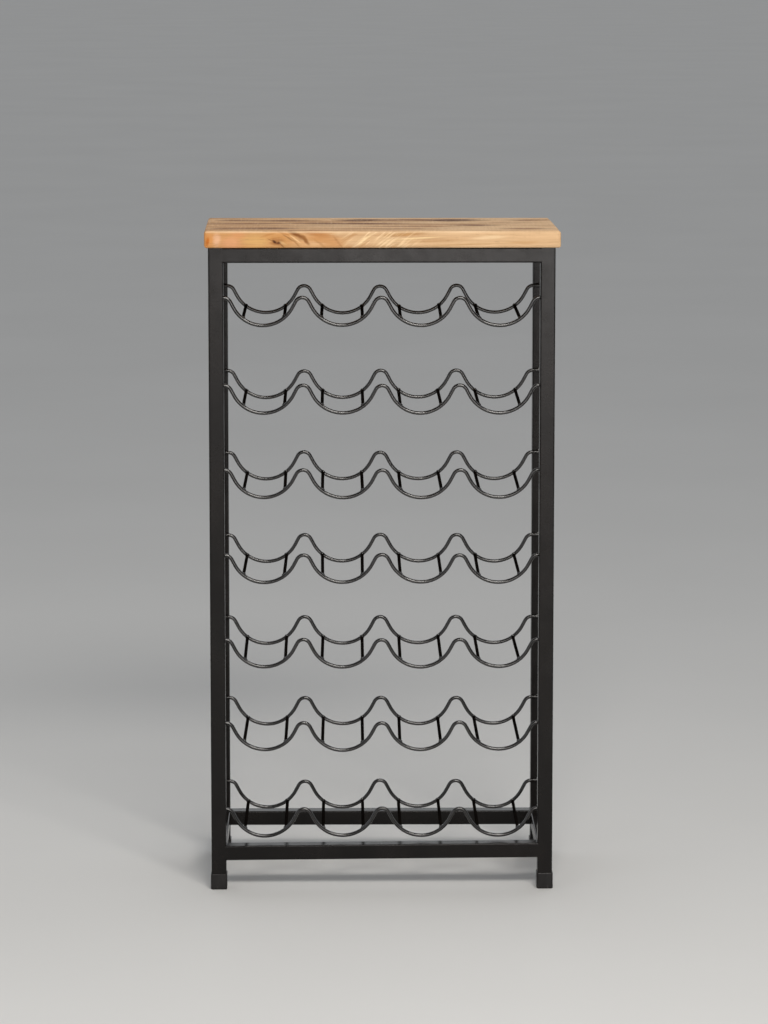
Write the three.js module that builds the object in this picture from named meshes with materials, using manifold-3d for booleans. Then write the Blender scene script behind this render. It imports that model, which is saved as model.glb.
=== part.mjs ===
// Wine rack: a welded frame of square steel tube with seven rows of wavy wire cradles, under a
// solid wood top. Millimetres, +Z up, front towards -Y. The origin is on the floor, at the middle
// of the footprint. Every row has a front wire and a back wire, each bent into four dips, and two
// straight rods between them at each dip.

import * as THREE from 'three';
import { mergeVertices } from 'three/addons/utils/BufferGeometryUtils.js';
import Module from 'manifold-3d';

const wasm = await Module();
wasm.setup();

// Overall
const HEIGHT = 900;
const FRAME_WIDTH = 464;
const FRAME_DEPTH = 210;
const GAP = 0.3; // clearance between neighbouring pieces
const WELD_DISTANCE = 1e-4; // vertices closer than this are one

// Square tube
const TUBE = 20;
const TUBE_WALL = 1.5;
const TUBE_CORNER = 1.5; // outside corner radius
const TUBE_BORE_CORNER = 0.5; // inside corner radius
const BOTTOM_RAIL_Z = 52; // centre line of the bottom frame
const FRONT_RAIL_LEAN = 3; // the front bottom rail's left end sits this much lower than its right end
const LEAN_ALLOWANCE = 0.2; // taken off the length of the rails, so that the leaning one stays clear

// Wood top: a hand-cut slab, so its corners are stated one by one
const TOP_THICKNESS = 22.7;
const TOP_CORNERS = [[-237, -110], [239, -110], [234.5, 107], [-239, 110]];
const TOP_CORNER_RADIUS = 4;
const TOP_EDGE_RADIUS = 2;

// Wire cradles
const BAYS = 4;
const ROW_HEIGHTS = [69, 189, 304, 420.5, 537, 652, 770.5]; // centre line at the bottom of the dips
const WIRE_RADIUS = 2.5;
const WAVE_RISE = 37.5;
const DIP_RADIUS = 45;
const CREST_RADIUS = 10;
const WIRE_ON_POST = 14; // length of wire that lies across the face of a post
const WIRE_SIDES = 6; // faces round a wire or a rod
const DIP_STEPS = 6; // straight lengths that make up a dip
const CREST_STEPS = 4; // and a whole crest
const ROD_RADIUS = 2.2;
const ROD_OFFSET = 27.5; // from the middle of a dip

// Foot caps
const CAP_HEIGHT = 21.5;
const CAP_BASE = 3; // thickness under the end of the tube
const CAP_WALL = 0.8;

// Screws that hold the top down
const SCREW_SHANK_RADIUS = 2;
const SCREW_HEAD_RADIUS = 4;
const SCREW_HEAD_HEIGHT = 2.6;
const SCREW_LENGTH = 36;
const SCREW_TIP = 5;
const SCREW_SIDES = 10;
const SCREW_SPACING = 60; // along each side rail

// Worked out from the above
const FRAME_TOP = HEIGHT - TOP_THICKNESS - GAP;
const POST_X = (FRAME_WIDTH - TUBE) / 2;
const POST_Y = (FRAME_DEPTH - TUBE) / 2;
const INNER_X = POST_X - TUBE / 2; // inside faces of the posts
const INNER_Y = POST_Y - TUBE / 2;
const POST_BOTTOM = CAP_BASE + GAP;
const TOP_RAIL_Z = FRAME_TOP - TUBE / 2;
const BAY_PITCH = 2 * INNER_X / BAYS;
const WIRE_Y = INNER_Y - GAP - WIRE_RADIUS;

const wood = new THREE.MeshStandardMaterial({ color: 0xd8a878, roughness: 0.55, metalness: 0 });
const blackPaint = new THREE.MeshStandardMaterial({ color: 0x2b2725, roughness: 0.42, metalness: 0.3 });
const blackPlastic = new THREE.MeshStandardMaterial({ color: 0x1b1a1a, roughness: 0.6, metalness: 0 });
const zincSteel = new THREE.MeshStandardMaterial({ color: 0xb4b2a8, roughness: 0.35, metalness: 0.9 });

const rack = new THREE.Group();

function addPiece(name, geometry, material, position = [0, 0, 0], rotation = [0, 0, 0]) {
  const mesh = new THREE.Mesh(geometry, material);
  mesh.name = name;
  mesh.position.set(...position);
  mesh.rotation.set(...rotation);
  rack.add(mesh);
}

// Booleans

function toSolid(geometry) {
  const bare = geometry.clone();
  bare.deleteAttribute('normal');
  bare.deleteAttribute('uv');
  const merged = mergeVertices(bare, WELD_DISTANCE);
  return new wasm.Manifold(new wasm.Mesh({
    numProp: 3,
    vertProperties: new Float32Array(merged.attributes.position.array),
    triVerts: new Uint32Array(merged.index.array),
  }));
}

function toGeometry(solid) {
  const mesh = solid.getMesh();
  const geometry = new THREE.BufferGeometry();
  geometry.setAttribute('position', new THREE.BufferAttribute(mesh.vertProperties, 3));
  geometry.setIndex(new THREE.BufferAttribute(mesh.triVerts, 1));
  geometry.computeVertexNormals();
  return geometry;
}

function join(geometries) {
  const [first, ...rest] = geometries.map(toSolid);
  return toGeometry(rest.reduce((whole, solid) => whole.add(solid), first));
}

function cut(geometry, tools) {
  return toGeometry(tools.map(toSolid).reduce((left, tool) => left.subtract(tool), toSolid(geometry)));
}

// Square tube

function roundedSquare(outline, width, radius) {
  const half = width / 2;
  const inner = half - radius;
  outline.moveTo(inner, -half);
  outline.absarc(inner, -inner, radius, -Math.PI / 2, 0, false);
  outline.absarc(inner, inner, radius, 0, Math.PI / 2, false);
  outline.absarc(-inner, inner, radius, Math.PI / 2, Math.PI, false);
  outline.absarc(-inner, -inner, radius, Math.PI, 1.5 * Math.PI, false);
  return outline;
}

// A tube along +Z, centred on the origin, with open ends
function squareTube(length) {
  const section = roundedSquare(new THREE.Shape(), TUBE, TUBE_CORNER);
  section.holes.push(roundedSquare(new THREE.Path(), TUBE - 2 * TUBE_WALL, TUBE_BORE_CORNER));
  const tube = new THREE.ExtrudeGeometry(section, { depth: length, bevelEnabled: false, curveSegments: 1 });
  return tube.translate(0, 0, -length / 2);
}

function verticalHole(x, y, z, radius, depth) {
  const hole = new THREE.CylinderGeometry(radius, radius, depth, SCREW_SIDES);
  return hole.rotateX(Math.PI / 2).translate(x, y, z);
}

// Where the screws stand along a side rail
const screwRow = [-SCREW_SPACING, 0, SCREW_SPACING];

function addFrame() {
  const postLength = FRAME_TOP - POST_BOTTOM;
  const postZ = (FRAME_TOP + POST_BOTTOM) / 2;
  for (const [side, x] of [['left', -POST_X], ['right', POST_X]]) {
    addPiece(`post_front_${side}`, squareTube(postLength), blackPaint, [x, -POST_Y, postZ]);
    addPiece(`post_back_${side}`, squareTube(postLength), blackPaint, [x, POST_Y, postZ]);
  }

  const acrossLength = 2 * (INNER_X - GAP) - LEAN_ALLOWANCE;
  const acrossTube = squareTube(acrossLength).rotateY(Math.PI / 2);
  const sideTube = squareTube(2 * (INNER_Y - GAP)).rotateX(Math.PI / 2);
  const lean = Math.asin(FRONT_RAIL_LEAN / acrossLength);
  addPiece('bottom_rail_front', acrossTube, blackPaint, [0, -POST_Y, BOTTOM_RAIL_Z], [0, -lean, 0]);
  addPiece('bottom_rail_back', acrossTube, blackPaint, [0, POST_Y, BOTTOM_RAIL_Z]);
  addPiece('bottom_rail_left', sideTube, blackPaint, [-POST_X, 0, BOTTOM_RAIL_Z]);
  addPiece('bottom_rail_right', sideTube, blackPaint, [POST_X, 0, BOTTOM_RAIL_Z]);

  addPiece('top_rail_front', acrossTube, blackPaint, [0, -POST_Y, TOP_RAIL_Z]);
  addPiece('top_rail_back', acrossTube, blackPaint, [0, POST_Y, TOP_RAIL_Z]);
  const screwHoles = screwRow.map((y) => verticalHole(0, y, 0, SCREW_SHANK_RADIUS + 2 * GAP, 2 * TUBE));
  const drilledTube = cut(sideTube, screwHoles);
  addPiece('top_rail_left', drilledTube, blackPaint, [-POST_X, 0, TOP_RAIL_Z]);
  addPiece('top_rail_right', drilledTube, blackPaint, [POST_X, 0, TOP_RAIL_Z]);
}

// Wood top: the outline drawn through the four corners with round ends, its long edges softened,
// and blind pilot holes for the screws
function addTop() {
  const corners = TOP_CORNERS.map(([x, y]) => new THREE.Vector2(x, y));
  const outline = new THREE.Shape();
  corners.forEach((corner, i) => {
    const before = corners[(i + corners.length - 1) % corners.length];
    const after = corners[(i + 1) % corners.length];
    const inset = TOP_CORNER_RADIUS + TOP_EDGE_RADIUS;
    const start = before.clone().sub(corner).setLength(inset).add(corner);
    const end = after.clone().sub(corner).setLength(inset).add(corner);
    if (i === 0) outline.moveTo(start.x, start.y);
    else outline.lineTo(start.x, start.y);
    outline.quadraticCurveTo(corner.x, corner.y, end.x, end.y);
  });
  outline.closePath();

  const slab = new THREE.ExtrudeGeometry(outline, {
    depth: TOP_THICKNESS - 2 * TOP_EDGE_RADIUS,
    bevelThickness: TOP_EDGE_RADIUS,
    bevelSize: TOP_EDGE_RADIUS,
    bevelOffset: -TOP_EDGE_RADIUS,
    bevelSegments: 2,
    curveSegments: 3,
  }).translate(0, 0, HEIGHT - TOP_THICKNESS + TOP_EDGE_RADIUS);
  const reach = screwTipHeight() - FRAME_TOP + GAP;
  const pilots = [-POST_X, POST_X].flatMap((x) => (
    screwRow.map((y) => verticalHole(x, y, FRAME_TOP, SCREW_SHANK_RADIUS + GAP, 2 * reach))
  ));
  addPiece('wood_top', cut(slab, pilots), wood);
}

// Screws, driven upwards through the side rails

function screwSeatHeight() {
  return FRAME_TOP - TUBE - GAP;
}

function screwTipHeight() {
  return screwSeatHeight() + SCREW_LENGTH;
}

function addScrews() {
  const profile = [
    [0, -SCREW_HEAD_HEIGHT],
    [0.6 * SCREW_HEAD_RADIUS, -SCREW_HEAD_HEIGHT],
    [SCREW_HEAD_RADIUS, -0.4 * SCREW_HEAD_HEIGHT],
    [SCREW_HEAD_RADIUS, 0],
    [SCREW_SHANK_RADIUS, 0],
    [SCREW_SHANK_RADIUS, SCREW_LENGTH - SCREW_TIP],
    [0, SCREW_LENGTH],
  ].map(([radius, height]) => new THREE.Vector2(radius, height));
  const screw = new THREE.LatheGeometry(profile, SCREW_SIDES).rotateX(Math.PI / 2);
  screwRow.forEach((y, i) => {
    addPiece(`top_screw_left_${i + 1}`, screw, zincSteel, [-POST_X, y, screwSeatHeight()]);
    addPiece(`top_screw_right_${i + 1}`, screw, zincSteel, [POST_X, y, screwSeatHeight()]);
  });
}

// Foot caps, pushed over the ends of the posts

function squareBar(width, radius, bottom, height) {
  const section = roundedSquare(new THREE.Shape(), width, radius);
  const bar = new THREE.ExtrudeGeometry(section, { depth: height, bevelEnabled: false, curveSegments: 1 });
  return bar.translate(0, 0, bottom);
}

function addFeet() {
  const inside = squareBar(TUBE + 2 * GAP, TUBE_CORNER + GAP, CAP_BASE, CAP_HEIGHT);
  const grown = GAP + CAP_WALL;
  const outside = squareBar(TUBE + 2 * grown, TUBE_CORNER + grown, 0, CAP_HEIGHT);
  const foot = cut(outside, [inside]);
  for (const [side, x] of [['left', -POST_X], ['right', POST_X]]) {
    addPiece(`foot_front_${side}`, foot, blackPlastic, [x, -POST_Y, 0]);
    addPiece(`foot_back_${side}`, foot, blackPlastic, [x, POST_Y, 0]);
  }
}

// Wavy wire: round dips and tighter round crests, joined by straights that are tangent to both

// The angle of the straights above the horizontal. The half wave is BAY_PITCH / 2 long and
// WAVE_RISE high.
function waveSlope() {
  const radii = DIP_RADIUS + CREST_RADIUS;
  const run = BAY_PITCH / 2;
  const drop = radii - WAVE_RISE;
  return Math.atan2(run, drop) - Math.acos(radii / Math.hypot(run, drop));
}

// Points along an arc in the XZ plane, its ends included. Angles are measured from +X towards +Z.
function arcPoints(x, z, radius, from, to, steps) {
  const points = [];
  for (let i = 0; i <= steps; i++) {
    const angle = THREE.MathUtils.lerp(from, to, i / steps);
    points.push(new THREE.Vector3(x + radius * Math.cos(angle), 0, z + radius * Math.sin(angle)));
  }
  return points;
}

function wavePoints() {
  const slope = waveSlope();
  const up = Math.PI / 2;
  const crestZ = WAVE_RISE - CREST_RADIUS;
  const points = [new THREE.Vector3(-INNER_X - WIRE_ON_POST, 0, WAVE_RISE)];
  for (let bay = 0; bay < BAYS; bay++) {
    const left = -INNER_X + bay * BAY_PITCH;
    if (bay === 0) points.push(...arcPoints(left, crestZ, CREST_RADIUS, up, up - slope, CREST_STEPS / 2));
    const middle = left + BAY_PITCH / 2;
    points.push(...arcPoints(middle, DIP_RADIUS, DIP_RADIUS, -up - slope, -up + slope, DIP_STEPS));
    const last = bay === BAYS - 1;
    const [crestEnd, crestSteps] = last ? [up, CREST_STEPS / 2] : [up - slope, CREST_STEPS];
    points.push(...arcPoints(left + BAY_PITCH, crestZ, CREST_RADIUS, up + slope, crestEnd, crestSteps));
  }
  points.push(new THREE.Vector3(INNER_X + WIRE_ON_POST, 0, WAVE_RISE));
  return points;
}

// A path through points whose stations are the points themselves, however far apart they are
class StationPath extends THREE.Curve {
  constructor(points) {
    super();
    this.points = points;
  }

  getPoint(t, target = new THREE.Vector3()) {
    const station = t * (this.points.length - 1);
    const i = Math.min(Math.floor(station), this.points.length - 2);
    return target.lerpVectors(this.points[i], this.points[i + 1], station - i);
  }

  getUtoTmapping(u) {
    return u;
  }
}

function waveWire() {
  const points = wavePoints();
  const section = new THREE.Shape();
  for (let i = 0; i < WIRE_SIDES; i++) {
    const angle = i * 2 * Math.PI / WIRE_SIDES;
    const corner = [WIRE_RADIUS * Math.cos(angle), WIRE_RADIUS * Math.sin(angle)];
    if (i === 0) section.moveTo(...corner);
    else section.lineTo(...corner);
  }
  section.closePath();
  return new THREE.ExtrudeGeometry(section, {
    steps: points.length - 1,
    extrudePath: new StationPath(points),
  });
}

// Rods run between the two wires, level with their centre lines, and are welded to the back wire
function addCradles() {
  const wire = waveWire();
  const frontEnd = -WIRE_Y + WIRE_RADIUS + GAP;
  const rod = new THREE.CylinderGeometry(ROD_RADIUS, ROD_RADIUS, WIRE_Y - frontEnd, WIRE_SIDES);
  const rodY = (frontEnd + WIRE_Y) / 2;
  const rodZ = DIP_RADIUS - Math.sqrt(DIP_RADIUS ** 2 - ROD_OFFSET ** 2);
  const backParts = [wire.clone().translate(0, WIRE_Y, 0)];
  for (let bay = 0; bay < BAYS; bay++) {
    const middle = -INNER_X + (bay + 0.5) * BAY_PITCH;
    backParts.push(rod.clone().translate(middle - ROD_OFFSET, rodY, rodZ));
    backParts.push(rod.clone().translate(middle + ROD_OFFSET, rodY, rodZ));
  }
  const backWire = join(backParts);
  ROW_HEIGHTS.forEach((height, i) => {
    addPiece(`row_${i + 1}_front_wire`, wire, blackPaint, [0, -WIRE_Y, height]);
    addPiece(`row_${i + 1}_back_wire_and_rods`, backWire, blackPaint, [0, 0, height]);
  });
}

addFrame();
addTop();
addScrews();
addFeet();
addCradles();

export default rack;
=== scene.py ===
"""The looks of the wine rack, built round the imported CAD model. Metres, +Z up, front towards -Y."""

import math

import bmesh
import bpy
from mathutils import Matrix, Vector, noise


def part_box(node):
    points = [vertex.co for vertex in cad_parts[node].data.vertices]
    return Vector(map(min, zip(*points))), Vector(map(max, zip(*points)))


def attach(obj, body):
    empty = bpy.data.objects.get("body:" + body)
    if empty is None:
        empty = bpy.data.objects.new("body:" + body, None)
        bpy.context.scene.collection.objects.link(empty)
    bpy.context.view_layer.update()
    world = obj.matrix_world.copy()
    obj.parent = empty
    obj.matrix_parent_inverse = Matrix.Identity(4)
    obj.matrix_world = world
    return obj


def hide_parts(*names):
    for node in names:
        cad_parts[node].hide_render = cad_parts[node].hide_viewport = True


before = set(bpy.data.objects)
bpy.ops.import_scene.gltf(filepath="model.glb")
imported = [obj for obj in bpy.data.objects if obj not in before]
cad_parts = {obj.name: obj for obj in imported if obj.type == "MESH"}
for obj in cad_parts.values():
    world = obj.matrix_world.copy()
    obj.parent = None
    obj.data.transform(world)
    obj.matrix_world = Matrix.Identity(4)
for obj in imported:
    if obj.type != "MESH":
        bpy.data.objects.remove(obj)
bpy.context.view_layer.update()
MM = 0.001

# Sizes that the frame's boxes don't give
TUBE_WALL = 1.5 * MM
TUBE_CORNER = 1.6 * MM
WIRE_RADIUS = 2.5 * MM
ROD_RADIUS = 2.2 * MM
DIP_RADIUS = 45 * MM
CREST_RADIUS = 10 * MM
WAVE_RISE = 37.5 * MM
ROD_OFFSET = 27.5 * MM  # from the middle of a dip
BAYS = 4
ROWS = 7
TOP_EDGE = 2.6 * MM  # how far the slab's edges are worn round

# The wood's growth rings
RING_WIDTH = 7.5 * MM
FINE_RING_WIDTH = 2.4 * MM
PITH_DEPTH = 75 * MM  # how far below the slab the middle of the tree lay

# ---------------------------------------------------------------------------------------------
# Camera, lights, floor


def look_from(obj, place, target):
    obj.location = place
    obj.rotation_mode = "QUATERNION"
    obj.rotation_quaternion = (Vector(target) - Vector(place)).to_track_quat("-Z", "Y")


def add_camera():
    data = bpy.data.cameras.new("camera")
    camera = bpy.data.objects.new("camera", data)
    bpy.context.scene.collection.objects.link(camera)
    data.lens = 129.5
    data.shift_y = -0.12
    data.clip_end = 200
    degrees_down, degrees_right = 7.33, 0.70
    camera.location = (-0.057, -5.0, 1.317)
    camera.rotation_euler = (math.radians(90 - degrees_down), 0, math.radians(-degrees_right))
    bpy.context.scene.camera = camera


def add_area_light(name, place, target, size, power, colour=(1, 1, 1)):
    data = bpy.data.lights.new(name, "AREA")
    data.shape = "RECTANGLE"
    data.size, data.size_y = size
    data.energy = power
    data.color = colour
    light = bpy.data.objects.new(name, data)
    bpy.context.scene.collection.objects.link(light)
    look_from(light, place, target)


def add_lights():
    """A soft key high on the right, a low window far in front, and surroundings that are brighter
    behind the rack than in front of it."""
    world = bpy.data.worlds.new("studio")
    world.use_nodes = True
    tree = world.node_tree
    background = tree.nodes["Background"]
    background.inputs["Color"].default_value = (0.93, 0.95, 0.97, 1)
    direction = tree.nodes.new("ShaderNodeSeparateXYZ")
    tree.links.new(tree.nodes.new("ShaderNodeTexCoord").outputs["Generated"], direction.inputs[0])
    glow = tree.nodes.new("ShaderNodeMapRange")
    glow.interpolation_type = "SMOOTHSTEP"
    front_strength, back_strength = 0.20, 0.80
    for value, socket in zip((-0.4, 0.9, front_strength, back_strength), list(glow.inputs)[1:5]):
        socket.default_value = value
    tree.links.new(direction.outputs["Y"], glow.inputs["Value"])
    tree.links.new(glow.outputs[0], background.inputs["Strength"])
    bpy.context.scene.world = world
    add_area_light("key", (0.6, -2.8, 2.75), (0, 0, 0.75), (1.8, 0.7), 90, (1.0, 0.965, 0.91))
    add_area_light("window", (0.65, -6.6, 0.74), (0.65, 0, 0.74), (2.3, 1.2), 66, (1.0, 0.955, 0.93))
    add_area_light("fill", (-3.2, -3.0, 1.8), (0, 0, 0.5), (2.0, 2.0), 14, (0.93, 0.96, 1.0))


def add_floor():
    size = 60
    mesh = bpy.data.meshes.new("floor")
    mesh.from_pydata(
        [(-size, -size, 0), (size, -size, 0), (size, size, 0), (-size, size, 0)], [], [(0, 1, 2, 3)]
    )
    floor = bpy.data.objects.new("floor", mesh)
    bpy.context.scene.collection.objects.link(floor)
    mesh.materials.append(floor_material())


# ---------------------------------------------------------------------------------------------
# Materials


class Nodes:
    """A short way to write node trees: every method adds one node and returns its output."""

    def __init__(self, name):
        self.material = bpy.data.materials.new(name)
        self.material.use_nodes = True
        self.tree = self.material.node_tree
        self.shader = self.tree.nodes["Principled BSDF"]

    def link(self, value, socket):
        if isinstance(value, bpy.types.NodeSocket):
            self.tree.links.new(value, socket)
        elif value is not None:
            socket.default_value = value

    def place(self):
        return self.tree.nodes.new("ShaderNodeTexCoord").outputs["Object"]

    def math(self, operation, a, b=None):
        node = self.tree.nodes.new("ShaderNodeMath")
        node.operation = operation
        for value, socket in zip((a, b), node.inputs):
            self.link(value, socket)
        return node.outputs[0]

    def vector(self, operation, a, b=None):
        node = self.tree.nodes.new("ShaderNodeVectorMath")
        node.operation = operation
        self.link(a, node.inputs[0])
        self.link(b, node.inputs["Scale" if operation == "SCALE" else 1])
        return node.outputs["Value" if operation == "LENGTH" else "Vector"]

    def split(self, vector):
        node = self.tree.nodes.new("ShaderNodeSeparateXYZ")
        self.link(vector, node.inputs[0])
        return node.outputs[0], node.outputs[1], node.outputs[2]

    def noise_node(self, vector, scale, detail, roughness):
        node = self.tree.nodes.new("ShaderNodeTexNoise")
        self.link(vector, node.inputs["Vector"])
        node.inputs["Scale"].default_value = scale
        node.inputs["Detail"].default_value = detail
        node.inputs["Roughness"].default_value = roughness
        return node

    def noise(self, vector, scale=1.0, detail=3.0, roughness=0.5):
        return self.noise_node(vector, scale, detail, roughness).outputs["Fac"]

    def unrest(self, vector, detail, roughness):
        """Noise with a value of its own in each direction, around zero."""
        node = self.noise_node(vector, 1, detail, roughness)
        return self.vector("SUBTRACT", node.outputs["Color"], (0.5, 0.5, 0.5))

    def own_space(self, vector, centre=(0, 0, 0), tilt=0, size=(1, 1, 1)):
        """The place as seen from centre, in axes tilted about Y by degrees, in units of size."""
        node = self.tree.nodes.new("ShaderNodeMapping")
        node.vector_type = "TEXTURE"
        self.link(vector, node.inputs["Vector"])
        node.inputs["Location"].default_value = centre
        node.inputs["Rotation"].default_value = (0, math.radians(tilt), 0)
        node.inputs["Scale"].default_value = size
        return node.outputs[0]

    def stretched(self, vector, x, y, z):
        return self.vector("MULTIPLY", vector, (x, y, z))

    def spread(self, value, low, high, to_low=0.0, to_high=1.0, smooth=True):
        node = self.tree.nodes.new("ShaderNodeMapRange")
        node.interpolation_type = "SMOOTHSTEP" if smooth else "LINEAR"
        for given, socket in zip((value, low, high, to_low, to_high), node.inputs):
            self.link(given, socket)
        return node.outputs[0]

    def mix(self, factor, a, b):
        node = self.tree.nodes.new("ShaderNodeMix")
        node.data_type = "RGBA"
        self.link(factor, node.inputs["Factor"])
        self.link(a, node.inputs[6])
        self.link(b, node.inputs[7])
        return node.outputs[2]

    def bump(self, height, distance, strength=1.0, normal=None):
        node = self.tree.nodes.new("ShaderNodeBump")
        node.inputs["Strength"].default_value = strength
        node.inputs["Distance"].default_value = distance
        self.link(height, node.inputs["Height"])
        self.link(normal, node.inputs["Normal"])
        return node.outputs["Normal"]


def floor_material():
    n = Nodes("pale_floor")
    mottle = n.noise(n.place(), 1.3, 4)
    n.link(n.mix(mottle, (0.66, 0.655, 0.645, 1), (0.72, 0.715, 0.705, 1)), n.shader.inputs["Base Color"])
    n.shader.inputs["Roughness"].default_value = 0.85
    n.shader.inputs["Specular IOR Level"].default_value = 0.08
    return n.material


def black_coat_material(name, sheen, reflection, dusty, peel_depth):
    """Warm black coat: fine orange peel, softly uneven gloss, a little dust on top. sheen is its
    lowest roughness, and reflection its specular level."""
    n = Nodes(name)
    place = n.place()
    cloud = n.noise(n.stretched(place, 1, 1, 0.45), 16, 4, 0.6)
    fine = n.noise(place, 420, 2, 0.5)
    coat = n.mix(n.spread(cloud, 0.35, 0.68), (0.0034, 0.0026, 0.0022, 1), (0.0070, 0.0054, 0.0047, 1))
    coat = n.mix(n.spread(fine, 0.55, 0.78, 0, 0.25), coat, (0.018, 0.015, 0.0135, 1))
    up = n.split(n.tree.nodes.new("ShaderNodeNewGeometry").outputs["Normal"])[2]
    dust = n.spread(n.noise(place, 55, 4, 0.7), 0.4, 0.75, 0, dusty)
    coat = n.mix(n.math("MULTIPLY", n.spread(up, 0.6, 0.98), dust), coat, (0.065, 0.059, 0.053, 1))
    n.link(coat, n.shader.inputs["Base Color"])
    gloss = n.spread(n.noise(place, 32, 4, 0.65), 0.3, 0.7, sheen, sheen + 0.07)
    n.link(gloss, n.shader.inputs["Roughness"])
    n.shader.inputs["IOR"].default_value = 1.5
    n.shader.inputs["Specular IOR Level"].default_value = reflection
    ripple = n.bump(n.noise(place, 95, 2, 0.5), 4 * peel_depth, 0.25)
    peel = n.bump(n.noise(place, 900, 2, 0.5), peel_depth, 0.5, ripple)
    n.link(peel, n.shader.inputs["Normal"])
    return n.material


def foot_material():
    """Smoky soft plastic, a little paler in patches near the floor."""
    n = Nodes("smoky_plastic")
    place = n.place()
    cloud = n.spread(n.noise(n.stretched(place, 1, 1, 0.5), 60, 3, 0.6), 0.35, 0.7)
    plastic = n.mix(cloud, (0.0075, 0.0066, 0.0064, 1), (0.0120, 0.0106, 0.0102, 1))
    pale_patches = n.spread(n.noise(n.stretched(place, 1, 1, 0.25), 420, 3, 0.6), 0.52, 0.75)
    low_down = n.spread(n.split(place)[2], 0.001, 0.007, 0.45, 0.05)
    plastic = n.mix(n.math("MULTIPLY", pale_patches, low_down), plastic, (0.10, 0.092, 0.085, 1))
    n.link(plastic, n.shader.inputs["Base Color"])
    n.link(n.spread(cloud, 0, 1, 0.30, 0.42), n.shader.inputs["Roughness"])
    n.shader.inputs["Specular IOR Level"].default_value = 0.3
    n.link(n.bump(n.noise(place, 240, 2), 0.04 * MM, 0.4), n.shader.inputs["Normal"])
    return n.material


def screw_material():
    """Zinc-plated steel, yellowed in patches."""
    n = Nodes("zinc_plate")
    place = n.place()
    patch = n.spread(n.noise(place, 260, 4, 0.6), 0.35, 0.7)
    n.link(n.mix(patch, (0.50, 0.49, 0.46, 1), (0.62, 0.57, 0.44, 1)), n.shader.inputs["Base Color"])
    n.shader.inputs["Metallic"].default_value = 1.0
    n.link(n.spread(patch, 0, 1, 0.28, 0.46), n.shader.inputs["Roughness"])
    n.link(n.bump(n.noise(place, 2200, 2), 0.02 * MM, 0.5), n.shader.inputs["Normal"])
    return n.material


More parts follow.
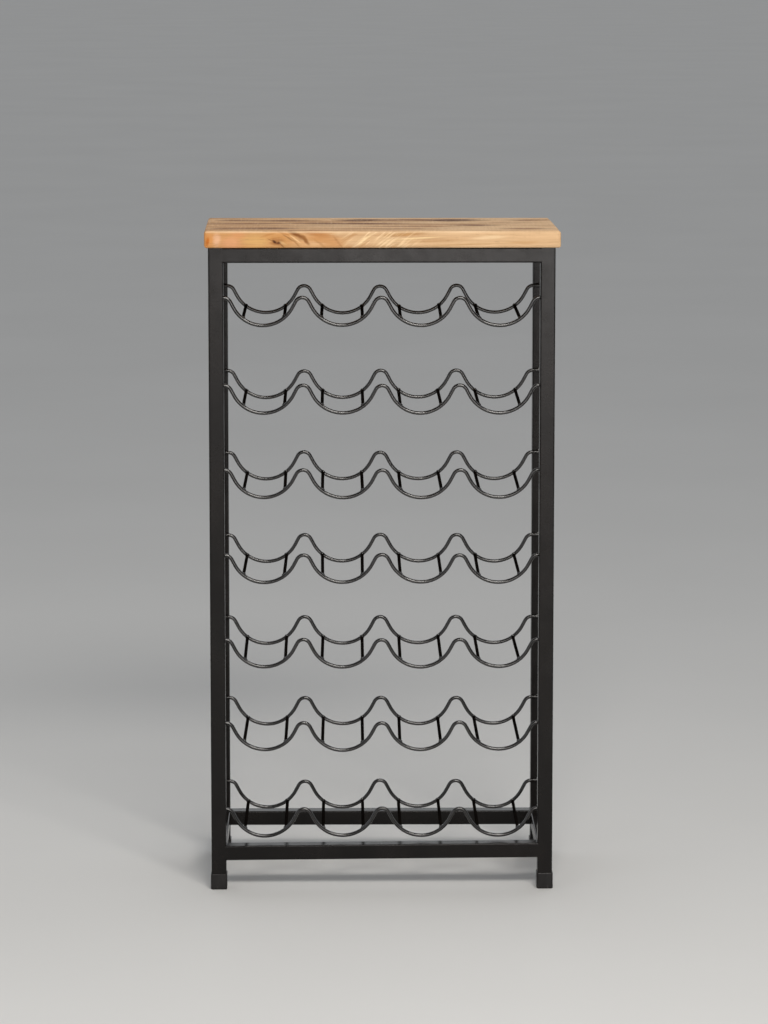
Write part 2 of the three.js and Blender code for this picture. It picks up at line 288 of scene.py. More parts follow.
# Figure of the wood. Each mark is a soft spindle in the solid: its centre as a fraction of the slab
# (along X, along Y, up), its half sizes in mm, its tilt in degrees about Y, its colour, its strength
# and how ragged its outline is.
WOOD_MARKS = [
    # left end of the front: orange, then rosy, then yellow
    ((0.010, 0.00, 0.50), (16, 40, 16), 0, (0.66, 0.27, 0.075), 0.70, 0.4),
    ((0.014, 0.00, 0.38), (3.4, 14, 8.0), 8, (0.50, 0.14, 0.02), 0.85, 0.4),
    ((0.040, 0.00, 0.50), (7, 16, 13), 4, (0.82, 0.50, 0.33), 0.60, 0.6),
    ((0.080, 0.00, 0.25), (20, 18, 13), 0, (0.70, 0.34, 0.17), 0.80, 0.4),
    ((0.100, 0.00, 0.80), (14, 18, 6), 0, (0.66, 0.30, 0.13), 0.60, 0.5),
    ((0.150, 0.00, 0.45), (26, 18, 13), 0, (0.66, 0.39, 0.145), 0.75, 0.5),
    # the knot, its halo and the dark lines through it
    ((0.212, 0.00, 0.50), (26, 18, 13), 15, (0.56, 0.27, 0.085), 0.60, 0.6),
    ((0.207, 0.00, 0.38), (13, 16, 7.0), 12, (0.36, 0.15, 0.05), 0.85, 0.8),
    ((0.186, 0.00, 0.80), (17, 14, 1.8), -16, (0.52, 0.24, 0.075), 0.75, 0.5),
    ((0.222, 0.00, 0.90), (17, 14, 1.8), 16, (0.44, 0.19, 0.055), 0.75, 0.5),
    ((0.204, 0.00, 0.60), (14, 12, 1.5), -8, (0.46, 0.20, 0.060), 0.70, 0.5),
    ((0.190, 0.00, 0.46), (8, 12, 1.3), 30, (0.26, 0.10, 0.035), 0.60, 0.6),
    ((0.200, 0.00, 0.38), (5.4, 12, 2.3), 34, (0.075, 0.022, 0.010), 1.0, 0.5),
    ((0.213, 0.00, 0.31), (5.2, 12, 2.0), -12, (0.110, 0.034, 0.014), 0.95, 0.5),
    ((0.222, 0.00, 0.14), (6, 10, 1.3), 48, (0.18, 0.07, 0.025), 0.7, 0.5),
    ((0.224, 0.00, 0.30), (7, 10, 2.2), 25, (0.66, 0.42, 0.19), 0.7, 0.5),
    ((0.238, 0.00, 0.62), (15, 12, 1.5), 33, (0.30, 0.13, 0.045), 0.75, 0.6),
    # the dark arc beside the knot, and what follows it
    ((0.262, 0.00, 0.80), (20, 20, 4.6), 26, (0.23, 0.085, 0.022), 1.0, 0.5),
    ((0.287, 0.00, 0.48), (11, 15, 3.6), 56, (0.27, 0.105, 0.03), 0.95, 0.5),
    ((0.258, 0.00, 0.54), (12, 12, 1.4), 36, (0.84, 0.58, 0.30), 0.8, 0.3),
    ((0.262, 0.00, 0.28), (13, 12, 1.8), 48, (0.38, 0.17, 0.06), 0.6, 0.5),
    ((0.318, 0.00, 0.84), (22, 30, 5.5), 10, (0.33, 0.13, 0.055), 0.85, 0.6),
    ((0.350, 0.00, 0.45), (42, 30, 14), 20, (0.55, 0.25, 0.080), 0.70, 0.6),
    ((0.330, 0.00, 0.22), (16, 20, 2.4), 38, (0.42, 0.20, 0.07), 0.5, 0.6),
    ((0.378, 0.00, 0.34), (16, 20, 2.2), 52, (0.40, 0.18, 0.065), 0.5, 0.6),
    ((0.410, 0.00, 0.66), (22, 20, 3.0), -30, (0.46, 0.23, 0.085), 0.55, 0.6),
    ((0.452, 0.00, 0.52), (17, 15, 2.6), -38, (0.90, 0.68, 0.38), 0.6, 0.8),
    ((0.455, 0.00, 0.30), (16, 20, 1.6), -30, (0.50, 0.26, 0.10), 0.45, 0.6),
    # right part of the front
    ((0.565, 0.00, 0.80), (36, 40, 3.8), -3, (0.46, 0.245, 0.095), 0.85, 0.4),
    ((0.600, 0.00, 0.58), (42, 30, 1.5), -3, (0.92, 0.72, 0.40), 0.6, 0.3),
    ((0.640, 0.00, 0.40), (60, 30, 1.5), -3, (0.53, 0.30, 0.13), 0.55, 0.4),
    ((0.720, 0.00, 0.20), (80, 30, 1.6), -2, (0.53, 0.30, 0.13), 0.60, 0.5),
    ((0.800, 0.00, 0.62), (34, 30, 3.2), -3, (0.90, 0.68, 0.42), 0.55, 0.6),
    ((0.900, 0.00, 0.35), (32, 30, 2.6), -3, (0.52, 0.29, 0.12), 0.50, 0.7),
    # streaks of the top: the dark one near the back, then towards the front
    ((0.700, 0.80, 1.00), (62, 26, 14), 0, (0.070, 0.018, 0.008), 1.0, 0.8),
    ((0.560, 0.82, 1.00), (62, 20, 12), 0, (0.16, 0.055, 0.020), 0.90, 0.9),
    ((0.440, 0.80, 1.00), (46, 24, 12), 0, (0.085, 0.024, 0.010), 0.95, 0.9),
    ((0.235, 0.78, 1.00), (58, 19, 12), 0, (0.17, 0.075, 0.028), 0.90, 0.9),
    ((0.100, 0.80, 1.00), (50, 21, 12), 0, (0.19, 0.085, 0.032), 0.85, 0.9),
    ((0.445, 0.56, 1.00), (92, 17, 10), 0, (0.14, 0.050, 0.019), 0.90, 0.8),
    ((0.325, 0.57, 1.00), (56, 18, 10), 0, (0.15, 0.062, 0.024), 0.85, 0.9),
    ((0.130, 0.56, 1.00), (100, 16, 10), 0, (0.26, 0.125, 0.050), 0.80, 0.9),
    ((0.765, 0.42, 1.00), (44, 19, 10), 0, (0.15, 0.058, 0.022), 0.85, 1.0),
    ((0.600, 0.36, 1.00), (92, 16, 10), 0, (0.34, 0.165, 0.070), 0.70, 0.9),
    ((0.170, 0.19, 1.00), (64, 19, 8), 0, (0.14, 0.055, 0.020), 0.90, 0.9),
    ((0.065, 0.18, 1.00), (36, 17, 8), 0, (0.20, 0.090, 0.034), 0.85, 0.9),
    ((0.540, 0.16, 1.00), (90, 13, 7), 0, (0.32, 0.155, 0.065), 0.75, 0.9),
    ((0.930, 0.80, 1.00), (44, 20, 8), 0, (0.27, 0.125, 0.050), 0.80, 0.9),
    ((0.900, 0.17, 1.00), (50, 17, 7), 0, (0.26, 0.120, 0.048), 0.80, 0.9),
    ((0.860, 0.60, 1.00), (60, 14, 7), 0, (0.36, 0.180, 0.080), 0.60, 0.9),
]


def growth_rings(n, place, low, high):
    """Broad and fine rings round a pith below the slab, with a gentle wander."""
    astray = n.unrest(n.stretched(place, 5, 15, 15), 3, 0.5)
    bent = n.vector("ADD", place, n.vector("SCALE", astray, 30 * MM))
    pith = (0, low.y + 0.60 * (high.y - low.y), low.z - PITH_DEPTH)
    across = n.vector("MULTIPLY", n.vector("SUBTRACT", bent, pith), (0.018, 1, 1))
    trunk = n.vector("LENGTH", across)
    broad = n.math("SINE", n.math("MULTIPLY", trunk, 2 * math.pi / RING_WIDTH))
    fine = n.math("SINE", n.math("MULTIPLY", trunk, 2 * math.pi / FINE_RING_WIDTH))
    return n.spread(broad, -0.3, 1.0), n.spread(fine, -1, 1)


def plain_wood(n, place, low, high, along, upper, drift):
    """The wood without its marks: orange on the left, creamy on the right, with long soft bands. The
    upper face was cut nearer the heart: it is pale, with many brown streaks."""
    rings, fine_rings = growth_rings(n, place, low, high)
    drifted = n.math("ADD", along, n.math("MULTIPLY", n.math("SUBTRACT", drift, 0.5), 0.9))
    creamy = n.spread(drifted, 0.25, 0.52)
    wood = n.mix(creamy, (0.635, 0.325, 0.125, 1), (0.695, 0.463, 0.262, 1))
    band = n.spread(n.noise(n.stretched(place, 2.4, 46, 60), 1, 4, 0.6), 0.44, 0.68)
    wood = n.mix(n.math("MULTIPLY", band, 0.42), wood, (0.52, 0.295, 0.135, 1))
    ringed = n.math("MULTIPLY", rings, n.spread(drift, 0.3, 0.7, 0.10, 0.30))
    wood = n.mix(ringed, wood, (0.45, 0.235, 0.10, 1))
    wood = n.mix(n.math("MULTIPLY", fine_rings, 0.09), wood, (0.36, 0.18, 0.08, 1))
    wood = n.mix(n.math("MULTIPLY", upper, 0.55), wood, (0.80, 0.545, 0.315, 1))
    brown = n.spread(n.noise(n.stretched(place, 4, 58, 58), 1, 4, 0.62), 0.46, 0.60, 0.0, 0.62)
    return n.mix(n.math("MULTIPLY", upper, brown), wood, (0.34, 0.150, 0.052, 1))


def with_marks(n, wood, place, low, high):
    """WOOD_MARKS laid over the wood one after another, their outlines torn along the grain."""
    torn = n.stretched(n.unrest(n.stretched(place, 26, 230, 260), 4, 0.6), 0.55, 1.15, 1)
    for spot, half_size, tilt, colour, strength, raggedness in WOOD_MARKS:
        centre = [a + f * (b - a) for f, a, b in zip(spot, low, high)]
        spindle = n.own_space(place, centre, tilt, [h * MM for h in half_size])
        outline = n.vector("ADD", spindle, n.vector("SCALE", torn, 2.2 * raggedness))
        strong = n.spread(n.vector("LENGTH", outline), 0.25, 1.05, strength, 0)
        wood = n.mix(strong, wood, (*colour, 1))
    return wood


def with_curl(n, wood, place, along, upper):
    """Curly figure in the middle: pale ripples that climb to the right, except on the upper face."""
    ripple = n.noise(n.stretched(n.own_space(place, tilt=-36), 34, 30, 300), 1, 2, 0.5)
    curly = n.math("MULTIPLY", n.spread(along, 0.36, 0.46), n.spread(along, 0.64, 0.52))
    curly = n.math("MULTIPLY", curly, n.spread(upper, 0.0, 1.0, 0.85, 0.0))
    pale_ripple = n.math("MULTIPLY", n.spread(ripple, 0.50, 0.66, 0, 0.60), curly)
    dark_ripple = n.math("MULTIPLY", n.spread(ripple, 0.48, 0.34, 0, 0.35), curly)
    wood = n.mix(pale_ripple, wood, (0.93, 0.71, 0.43, 1))
    return n.mix(dark_ripple, wood, (0.56, 0.290, 0.115, 1))


def wood_material(low, high):
    """Light fruitwood with its grain along X, worked out in the solid, so that each face shows its
    own cut of it. low and high are the slab's corners."""
    n = Nodes("fruitwood")
    place = n.place()
    x, y, z = n.split(place)
    along = n.spread(x, low.x, high.x, 0, 1, smooth=False)
    upper = n.spread(z, high.z - 2.2 * MM, high.z - 0.2 * MM, 0, 1)
    drift = n.noise(n.stretched(place, 4, 12, 20), 1, 4, 0.6)
    wood = plain_wood(n, place, low, high, along, upper, drift)
    wood = with_marks(n, wood, place, low, high)

    # Fibres, short open pores and the fine marks of the saw across the grain
    fibre = n.noise(n.stretched(place, 20, 800, 800), 1, 3, 0.6)
    wood = n.mix(n.spread(fibre, 0.35, 0.7, 0.0, 0.20), wood, (0.33, 0.175, 0.085, 1))
    pores = n.spread(n.noise(n.stretched(place, 75, 1500, 1500), 1, 1), 0.66, 0.74)
    wood = n.mix(n.math("MULTIPLY", pores, 0.40), wood, (0.20, 0.095, 0.045, 1))
    saw = n.noise(n.stretched(place, 330, 22, 40), 1, 3, 0.65)
    sawn = n.math("MAXIMUM", upper, 0.16)
    pale_saw = n.math("MULTIPLY", n.spread(saw, 0.50, 0.72, 0, 0.15), sawn)
    dark_saw = n.math("MULTIPLY", n.spread(saw, 0.50, 0.28, 0, 0.13), sawn)
    wood = n.mix(pale_saw, wood, (0.98, 0.76, 0.48, 1))
    wood = n.mix(dark_saw, wood, (0.24, 0.110, 0.042, 1))
    wood = with_curl(n, wood, place, along, upper)

    # Painted highlight: the long front edge is painted pale, where its rounding catches the light
    from_edge = n.math("ADD", n.math("SUBTRACT", y, low.y), n.math("SUBTRACT", high.z, z))
    painted_edge_highlight = n.spread(from_edge, 3.6 * MM, 1.2 * MM, 0, n.spread(drift, 0.3, 0.6, 0.15, 0.60))
    wood = n.mix(painted_edge_highlight, wood, (0.95, 0.72, 0.47, 1))
    n.link(wood, n.shader.inputs["Base Color"])

    n.link(n.spread(fibre, 0.3, 0.7, 0.52, 0.66), n.shader.inputs["Roughness"])
    n.shader.inputs["IOR"].default_value = 1.42
    n.shader.inputs["Specular IOR Level"].default_value = 0.08
    relief = n.math("SUBTRACT", n.math("MULTIPLY", fibre, 0.5), n.math("MULTIPLY", pores, 0.6))
    relief = n.math("ADD", relief, n.math("MULTIPLY", saw, 0.5))
    n.link(n.bump(relief, 0.16 * MM, 0.6), n.shader.inputs["Normal"])
    return n.material


# ---------------------------------------------------------------------------------------------
# Mesh helpers


def finish_mesh(bm, name, sharp_degrees=35):
    bmesh.ops.recalc_face_normals(bm, faces=bm.faces)
    mesh = bpy.data.meshes.new(name)
    bm.to_mesh(mesh)
    bm.free()
    mesh.shade_smooth()
    mesh.set_sharp_from_angle(angle=math.radians(sharp_degrees))
    return mesh


def add_piece(name, mesh, material, replaced=()):
    obj = bpy.data.objects.new(name, mesh)
    bpy.context.scene.collection.objects.link(obj)
    mesh.materials.append(material)
    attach(obj, "root")
    if replaced:
        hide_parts(*replaced)


def join_rings(bm, rings, closed=False):
    """Quads between rings of vertices that follow each other; closed joins the last to the first."""
    count = len(rings[0])
    pairs = zip(rings, rings[1:] + rings[:1]) if closed else zip(rings, rings[1:])
    for a, b in pairs:
        for i in range(count):
            j = (i + 1) % count
            bm.faces.new((a[i], a[j], b[j], b[i]))


def sweep(bm, points, radius_at, sides, side_axis):
    """A round bar through points, with softly rounded ends. side_axis stays across the bar all the
    way along, and radius_at(i, angle) gives the radius at point i."""
    last = len(points) - 1
    rings = []

    def ring(centre, tangent, i, scale):
        out = tangent.cross(side_axis).normalized()
        spots = []
        for k in range(sides):
            angle = 2 * math.pi * k / sides
            radius = radius_at(i, angle) * scale
            spoke = math.cos(angle) * out + math.sin(angle) * side_axis
            spots.append(bm.verts.new(centre + radius * spoke))
        rings.append(spots)

    def tangent_at(i):
        return (points[min(i + 1, last)] - points[max(i - 1, 0)]).normalized()

    start, end = tangent_at(0), tangent_at(last)
    round_off = radius_at(0, 0) * 0.35
    ring(points[0], start, 0, 0.65)
    ring(points[0] + start * round_off, start, 0, 1)
    for i in range(1, last):
        ring(points[i], tangent_at(i), i, 1)
    ring(points[last] - end * round_off, end, last, 1)
    ring(points[last], end, last, 0.65)
    join_rings(bm, rings)
    bm.faces.new(rings[0])
    bm.faces.new(rings[-1])


def blob(bm, centre, radii, seed, lumpiness=0.18):
    """A lumpy weld bead."""
    made = bmesh.ops.create_icosphere(bm, subdivisions=2, radius=1)
    for vert in made["verts"]:
        bulge = 1 + lumpiness * noise.noise(vert.co * 1.7 + Vector((seed * 3.7, seed * 1.3, 0)))
        vert.co = Vector(centre) + Vector([c * r * bulge for c, r in zip(vert.co, radii)])


def rounded_square(half, corner, steps):
    """Outline of a square with round corners, anticlockwise. A point a little way along each flat
    keeps the shading of the flat even."""
    spots = []
    margin = min(0.6 * MM, (half - corner) / 2)
    for quarter in range(4):
        middle = math.pi / 4 + quarter * math.pi / 2
        centre = (half - corner) * math.sqrt(2) * Vector((math.cos(middle), math.sin(middle)))
        start = quarter * math.pi / 2
        ahead = Vector((math.cos(start), math.sin(start)))
        aside = Vector((-ahead.y, ahead.x))
        spots.append(centre + corner * ahead - margin * aside)
        for k in range(steps + 1):
            angle = start + k * math.pi / 2 / steps
            spots.append(centre + corner * Vector((math.cos(angle), math.sin(angle))))
        spots.append(centre + corner * aside - margin * ahead)
    return spots


# ---------------------------------------------------------------------------------------------
# Square tube frame


def tube_mesh(name, length, half, broken):
    """A hollow square tube along Z from 0 to length. broken is the chamfer of its end edges."""
    bm = bmesh.new()
    outside = rounded_square(half, TUBE_CORNER, 6)
    inside = rounded_square(half - TUBE_WALL, TUBE_CORNER - TUBE_WALL, 6)
    outside_end = rounded_square(half - broken, TUBE_CORNER - broken, 6)
    stretches = 12
    rings = []
    for spots, height in (
        [(outside_end, 0.0), (outside, broken)]
        + [(outside, length * k / stretches) for k in range(1, stretches)]
        + [(outside, length - broken), (outside_end, length), (inside, length), (inside, 0.0)]
    ):
        rings.append([bm.verts.new((p.x, p.y, height)) for p in spots])
    join_rings(bm, rings, closed=True)
    return finish_mesh(bm, name)


def fillet_bead(bm, start, end, radius, seed):
    """A lumpy bead along the inside corner where two tubes meet."""
    start, end = Vector(start), Vector(end)
    steps = 14
    points = [start.lerp(end, k / steps) for k in range(steps + 1)]
    side_axis = Vector((0, 0, 1))

    def radius_at(i, angle):
        taper = 1 - 0.35 * abs(2 * i / steps - 1) ** 4
        return radius * taper * (1 + 0.16 * noise.noise(Vector((i * 0.9, angle, seed * 2.1))))

    sweep(bm, points, radius_at, 8, side_axis)


def add_frame_tubes(coat):
    welds = bmesh.new()
    seed = 0
    bead = 1.25 * MM
    for node in sorted(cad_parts):
        if not (node.startswith("post_") or "_rail_" in node):
            continue
        low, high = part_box(node)
        size = high - low
        middle = (low + high) / 2
        along = max(range(3), key=lambda axis: size[axis])
        half = min(size) / 2
        upright = along == 2
        reach = size[along]
        lean = 0.0
        if not upright:
            # runs on to the flat of the post, as a joint that is welded and ground flush does
            reach = 2 * (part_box("post_back_right")[0][along] + TUBE_CORNER)
            lean = (size.z - 2 * half) / size[along]
        mesh = tube_mesh(node, reach, half, 0.25 * MM if upright else 0.02 * MM)
        mesh.transform(Matrix.Translation((0, 0, -reach / 2)))
        if along == 0:
            mesh.transform(Matrix.Rotation(math.pi / 2 - lean, 4, "Y"))
        if along == 1:
            mesh.transform(Matrix.Rotation(math.pi / 2, 4, "X"))
        mesh.transform(Matrix.Translation(middle))
        add_piece(f"tube_{node}", mesh, coat, [node])
        if upright:
            continue

        # a bead in each corner between the rail and a post, except under the wood
        across = Vector((0, 0.86 * half, 0)) if along == 0 else Vector((0.86 * half, 0, 0))
        for end in (-1, 1):
            for side in ((-1,) if node.startswith("top_") else (-1, 1)):
                seed += 1
                spot = middle.copy()
                spot[along] += end * size[along] / 2
                spot.z += side * (half - 0.35 * MM) + end * lean * size[along] / 2
                fillet_bead(welds, spot - across, spot + across, bead, seed)
    add_piece("frame_welds", finish_mesh(welds, "frame_welds", 60), coat)


# ---------------------------------------------------------------------------------------------
# Wavy wires, cross rods and their welds


def wave_slope(pitch):
    """Angle of the straights between dips and crests."""
    radii = DIP_RADIUS + CREST_RADIUS
    drop = radii - WAVE_RISE
    return math.atan2(pitch / 2, drop) - math.acos(radii / math.hypot(pitch / 2, drop))


def arc(x, z, radius, start, end, steps):
    return [
        Vector((x + radius * math.cos(a), 0, z + radius * math.sin(a)))
        for a in (start + (end - start) * k / steps for k in range(steps + 1))
    ]


def wave_points(inner, pitch, overlap):
    """The wire's centre line in the XZ plane, dips at height 0, over the posts at both ends."""
    slope = wave_slope(pitch)
    up = math.pi / 2
    crest_z = WAVE_RISE - CREST_RADIUS
    points = [Vector((-inner - overlap * k / 4, 0, WAVE_RISE)) for k in (4, 3, 2, 1)]
    for bay in range(BAYS):
        left = -inner + bay * pitch
        if bay == 0:
            points += arc(left, crest_z, CREST_RADIUS, up, up - slope, 7)
        else:
            points += arc(left, crest_z, CREST_RADIUS, up + slope, up - slope, 14)
        points += arc(left + pitch / 2, DIP_RADIUS, DIP_RADIUS, -up - slope, -up + slope, 26)
    points += arc(inner, crest_z, CREST_RADIUS, up + slope, up, 7)
    points += [Vector((inner + overlap * k / 4, 0, WAVE_RISE)) for k in (1, 2, 3, 4)]
    return points


def bent_by_hand(point, seed, inner):
    """Small errors of the bending jig: none at the posts, up to about a millimetre between."""
    free = max(0.0, 1 - (abs(point.x) / inner) ** 6)
    wobble_x = noise.noise(Vector((point.x * 11, seed * 7.3, 0.5)))
    wobble_z = noise.noise(Vector((point.x * 9, seed * 5.1, 9.5)))
    return point + Vector((1.3 * MM * wobble_x * free, 0, 1.1 * MM * wobble_z * free))


def wire_at(points, x):
    """The point of the wire's centre line nearest to x along the row."""
    for a, b in zip(points, points[1:]):
        if a.x <= x <= b.x:
            return a.lerp(b, (x - a.x) / (b.x - a.x))
    return points[-1]


def wire_mesh(name, points, y, height):
    bm = bmesh.new()
    placed = [p + Vector((0, y, height)) for p in points]
    sweep(bm, placed, lambda i, angle: WIRE_RADIUS, 14, Vector((0, 1, 0)))
    return finish_mesh(bm, name)


def rod_mesh(name, start, end, seed):
    """A straight rod, bowed up or down by a fraction of a millimetre."""
    steps = 16
    points = [start.lerp(end, k / steps) for k in range(steps + 1)]
    bow = 0.5 * MM * noise.noise(Vector((seed * 0.7, 8.5, 0)))
    for k, point in enumerate(points):
        point.z += bow * math.sin(math.pi * k / steps)
    bm = bmesh.new()
    sweep(bm, points, lambda i, angle: ROD_RADIUS, 12, Vector((0, 0, 1)))
    return finish_mesh(bm, name)


def add_row(row, coat, rod_coat):
    front = f"row_{row}_front_wire"
    back = f"row_{row}_back_wire_and_rods"
    front_low, front_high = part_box(front)
    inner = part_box("post_front_right")[0].x
    pitch = 2 * inner / BAYS
    wire_y = (front_low.y + front_high.y) / 2
    height = front_low.z + WIRE_RADIUS
    overlap = front_high.x - inner
    line = wave_points(inner, pitch, overlap)

    front_line = [bent_by_hand(p, row, inner) for p in line]
    back_line = [bent_by_hand(p, row + 20, inner) for p in line]
    front_mesh = wire_mesh(front, front_line, wire_y, height)
    back_mesh = wire_mesh(back, back_line, -wire_y, height)
    add_piece(f"wire_front_{row}", front_mesh, coat, [front])
    add_piece(f"wire_back_{row}", back_mesh, coat, [back])

    welds = bmesh.new()
    for bay in range(BAYS):
        middle = -inner + (bay + 0.5) * pitch
        for side in (-1, 1):
            number = 2 * bay + (1 if side < 0 else 2)
            seed = row * 31 + number
            ends = []
            for line_points, end_y in ((front_line, wire_y), (back_line, -wire_y)):
                stray = 2.0 * MM * noise.noise(Vector((seed * 1.9, 2.5 + end_y * 40, 0)))
                spot = wire_at(line_points, middle + side * ROD_OFFSET + stray)
                ends.append(Vector((spot.x, end_y, height + spot.z)))
            rod = f"rod_{row}_{number}"
            add_piece(rod, rod_mesh(rod, *ends, seed), rod_coat)
            for k, (end, inward) in enumerate(((ends[0], 1), (ends[1], -1))):
                spot = end + Vector((0, inward * (WIRE_RADIUS + 0.5 * MM), 0.7 * MM))
                blob(welds, spot, (3.3 * MM, 2.0 * MM, 2.9 * MM), seed + 40 * k)
    for x in (-1, 1):
        for end in (wire_y, -wire_y):
            post_face = end + math.copysign(WIRE_RADIUS, end)
            for drop in (-1, 1):
                spot = (x * (inner + overlap * 0.62), post_face, height + WAVE_RISE + drop * 1.9 * MM)
                blob(welds, spot, (4.6 * MM, 1.2 * MM, 1.6 * MM), row * 7 + x + drop)
    add_piece(f"welds_{row}", finish_mesh(welds, f"welds_{row}", 70), coat)


# ---------------------------------------------------------------------------------------------
# Wood top


def graded(low, high, edge, cuts):
    """Stations from low to high, close together where the edge is rounded."""
    near = [edge * s for s in (0.0, 0.12, 0.3, 0.55, 0.8, 1.0)]
    inner = [low + edge + (high - low - 2 * edge) * k / cuts for k in range(1, cuts)]
    return [low + s for s in near] + inner + [high - s for s in reversed(near)]


def slab_grid(low, high, edge):
    """A box of quads with graded stations; every surface vertex is made once."""
    xs = graded(low.x, high.x, edge, 90)
    ys = graded(low.y, high.y, edge, 36)
    zs = graded(low.z, high.z, edge, 6)
    bm = bmesh.new()
    made = {}

    def vert(i, j, k):
        if (i, j, k) not in made:
            made[i, j, k] = bm.verts.new((xs[i], ys[j], zs[k]))
        return made[i, j, k]

    nx, ny, nz = len(xs) - 1, len(ys) - 1, len(zs) - 1
    for i in range(nx):
        for j in range(ny):
            for k in (0, nz):
                bm.faces.new((vert(i, j, k), vert(i + 1, j, k), vert(i + 1, j + 1, k), vert(i, j + 1, k)))
    for i in range(nx):
        for k in range(nz):
            for j in (0, ny):
                bm.faces.new((vert(i, j, k), vert(i + 1, j, k), vert(i + 1, j, k + 1), vert(i, j, k + 1)))
    for j in range(ny):
        for k in range(nz):
            for i in (0, nx):
                bm.faces.new((vert(i, j, k), vert(i, j + 1, k), vert(i, j + 1, k + 1), vert(i, j, k + 1)))
    return bm


def add_top():
    low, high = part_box("wood_top")
    corners = plan_corners("wood_top")
    bm = slab_grid(low, high, TOP_EDGE)
    core_low, core_high = low + Vector([TOP_EDGE] * 3), high - Vector([TOP_EDGE] * 3)
    for vert in bm.verts:
        core = Vector([min(max(c, a), b) for c, a, b in zip(vert.co, core_low, core_high)])
        out = vert.co - core
        if out.length > 1e-9:
            # how worn the edge is here: rounder at the corners and in places along it
            edges_met = sum(abs(c) > 1e-9 for c in out)
            worn = noise.noise(vert.co * 16) * 0.45 * MM if edges_met > 1 else 0
            reach = TOP_EDGE - (0.25 * MM + worn if edges_met > 1 else 0)
            vert.co = core + out.normalized() * min(reach, TOP_EDGE)
        u = (vert.co.x - low.x) / (high.x - low.x)
        v = (vert.co.y - low.y) / (high.y - low.y)
        front = corners[0].lerp(corners[1], u)
        back = corners[3].lerp(corners[2], u)
        spot = front.lerp(back, v)
        vert.co.x, vert.co.y = spot.x, spot.y
        # hand-planed: the faces wander by a fraction of a millimetre
        wander = 0.22 * MM * (noise.noise(vert.co * 9) - 0.6)
        if v < 0.02:
            vert.co.y -= wander
        if u < 0.01:
            vert.co.x -= wander
        if u > 0.99:
            vert.co.x += wander
    mesh = finish_mesh(bm, "slab", 50)
    add_piece("wood_slab", mesh, wood_material(low, high), ["wood_top"])


def plan_corners(node):
    """The four corners of a slab seen from above, from its mesh: front left, front right, back
    right, back left."""
    spots = [Vector((v.co.x, v.co.y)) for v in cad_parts[node].data.vertices]
    near = 12 * MM
    found = []
    for sx, sy in ((-1, -1), (1, -1), (1, 1), (-1, 1)):
        corner = max(spots, key=lambda p: sx * p.x + sy * p.y)
        side = max((p for p in spots if sy * (p.y - corner.y) > -near), key=lambda p: sx * p.x)
        end = max((p for p in spots if sx * (p.x - corner.x) > -near), key=lambda p: sy * p.y)
        found.append(Vector((side.x, end.y)))
    return found


# ---------------------------------------------------------------------------------------------
# Foot caps and screws


def cap_mesh(name, half, top, inside, floor_top):
    """A cap that slips over the end of a post. inside is half the width of its hollow, and floor_top
    the height of the hollow's floor."""
    soft = 1.5 * MM
    profile = [(half - 3.2 * MM, 0.5 * MM), (half - 2.6 * MM, 0.0), (half - soft, 0.0)]
    for k in range(1, 5):
        angle = math.pi / 2 * k / 4
        profile.append((half - soft + soft * math.sin(angle), soft - soft * math.cos(angle)))
    profile += [
        (half - 0.02 * MM, soft + 0.8 * MM),
        (half - 0.08 * MM, top - 1.1 * MM),
        (half - 0.1 * MM, top - 0.3 * MM),
        (half - 0.3 * MM, top),
        (inside, top - 0.05 * MM),
        (inside, floor_top),
    ]
    bm = bmesh.new()
    rings = []
    for reach, height in profile:
        corner = TUBE_CORNER + max(0.0, reach - half + soft) * 0.5
        rings.append([bm.verts.new((p.x, p.y, height)) for p in rounded_square(reach, corner, 5)])
    join_rings(bm, rings)
    bm.faces.new(rings[0])
    bm.faces.new(rings[-1])
    return finish_mesh(bm, name, 40)


def add_feet(plastic):
    slack = 0.1 * MM
    for node in sorted(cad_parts):
        if not node.startswith("foot_"):
            continue
        low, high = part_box(node)
        post_low, post_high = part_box(node.replace("foot_", "post_"))
        middle = (low + high) / 2
        inside = (post_high.x - post_low.x) / 2 + slack
        mesh = cap_mesh(node, (high.x - low.x) / 2, high.z, inside, post_low.z - slack)
        mesh.transform(Matrix.Translation((middle.x, middle.y, 0)))
        add_piece(f"cap_{node}", mesh, plastic, [node])


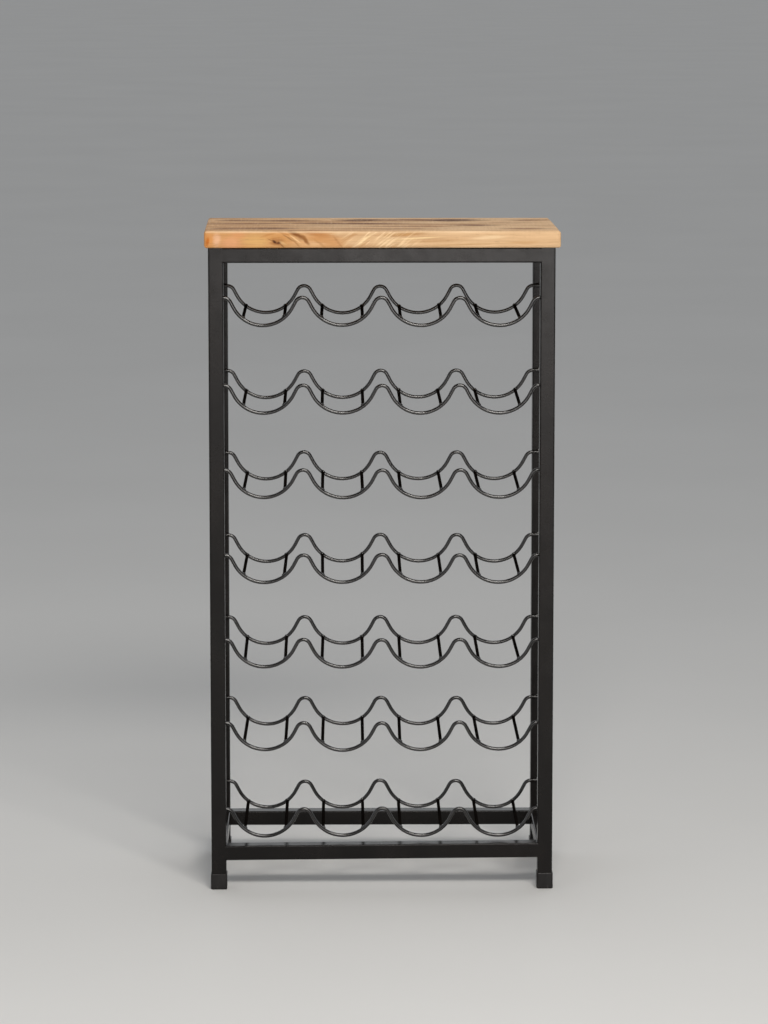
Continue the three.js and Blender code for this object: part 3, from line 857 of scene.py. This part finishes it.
def screw_mesh(name, head_radius, bottom, seat, tip):
    """A wood screw that points up: a domed head with a cross recess from bottom to seat, and a
    threaded shank from there to tip."""
    shank = 2.0 * MM
    thread_pitch = 1.4 * MM
    rings_per_turn = 6
    sides = 40
    turns = [2 * math.pi * k / sides for k in range(sides)]
    round_about = [(math.cos(angle), math.sin(angle)) for angle in turns]
    bm = bmesh.new()

    def ring(reach, height):
        return [bm.verts.new((reach * c, reach * s, height)) for c, s in round_about]

    dome = [
        (head_radius * math.sin(a), seat - (seat - bottom) * math.cos(a) ** 0.8)
        for a in (math.radians(d) for d in (18, 34, 50, 64, 76, 84))
    ]
    profile = dome + [(head_radius, seat - 0.25 * MM), (head_radius, seat), (shank, seat)]
    rings = [ring(reach, height) for reach, height in profile]

    # the thread: a ridge that climbs one pitch for each turn
    steps = int((tip - 4 * MM - seat) / (thread_pitch / rings_per_turn))
    for step in range(1, steps + 1):
        height = seat + step * thread_pitch / rings_per_turn
        fade = min(1.0, step / 10)
        threaded = []
        for k, (c, s) in enumerate(round_about):
            turn = (height / thread_pitch - k / sides) % 1
            ridge = max(0.0, 1 - abs(turn - 0.5) * 5)
            reach = shank * (0.74 + 0.24 * ridge * fade)
            threaded.append(bm.verts.new((reach * c, reach * s, height)))
        rings.append(threaded)
    rings.append(ring(0.1 * MM, tip))
    join_rings(bm, rings)
    bm.faces.new(rings[-1])

    # the cross recess, sunk in the middle of the head
    star = []
    for angle, (c, s) in zip(turns, round_about):
        reach = head_radius * (0.16 + 0.14 * max(0.0, math.cos(4 * angle)) ** 2)
        star.append(bm.verts.new((reach * c, reach * s, bottom + 0.1 * MM)))
    pit = [bm.verts.new((v.co.x * 0.6, v.co.y * 0.6, bottom + 1.5 * MM)) for v in star]
    join_rings(bm, [pit, star, rings[0]])
    bm.faces.new(pit)
    return finish_mesh(bm, name, 40)


def add_screws(zinc):
    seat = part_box("top_rail_front")[0].z - 0.1 * MM
    for node in sorted(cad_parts):
        if not node.startswith("top_screw_"):
            continue
        low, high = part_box(node)
        middle = (low + high) / 2
        mesh = screw_mesh(node, (high.y - low.y) / 2, low.z, seat, high.z)
        mesh.transform(Matrix.Translation((middle.x, middle.y, 0)))
        add_piece(f"screw_{node}", mesh, zinc, [node])


# ---------------------------------------------------------------------------------------------

add_camera()
add_lights()
add_floor()
bpy.context.scene.view_settings.view_transform = "Standard"

frame_coat = black_coat_material(
    "black_coat", sheen=0.21, reflection=0.22, dusty=0.12, peel_depth=0.035 * MM
)
wire_coat = black_coat_material(
    "black_wire_coat", sheen=0.13, reflection=0.8, dusty=0.03, peel_depth=0.004 * MM
)
rod_coat = black_coat_material(
    "black_rod_coat", sheen=0.40, reflection=0.0, dusty=0.02, peel_depth=0.03 * MM
)
add_frame_tubes(frame_coat)
for row_number in range(1, ROWS + 1):
    add_row(row_number, wire_coat, rod_coat)
add_top()
add_feet(foot_material())
add_screws(screw_material())
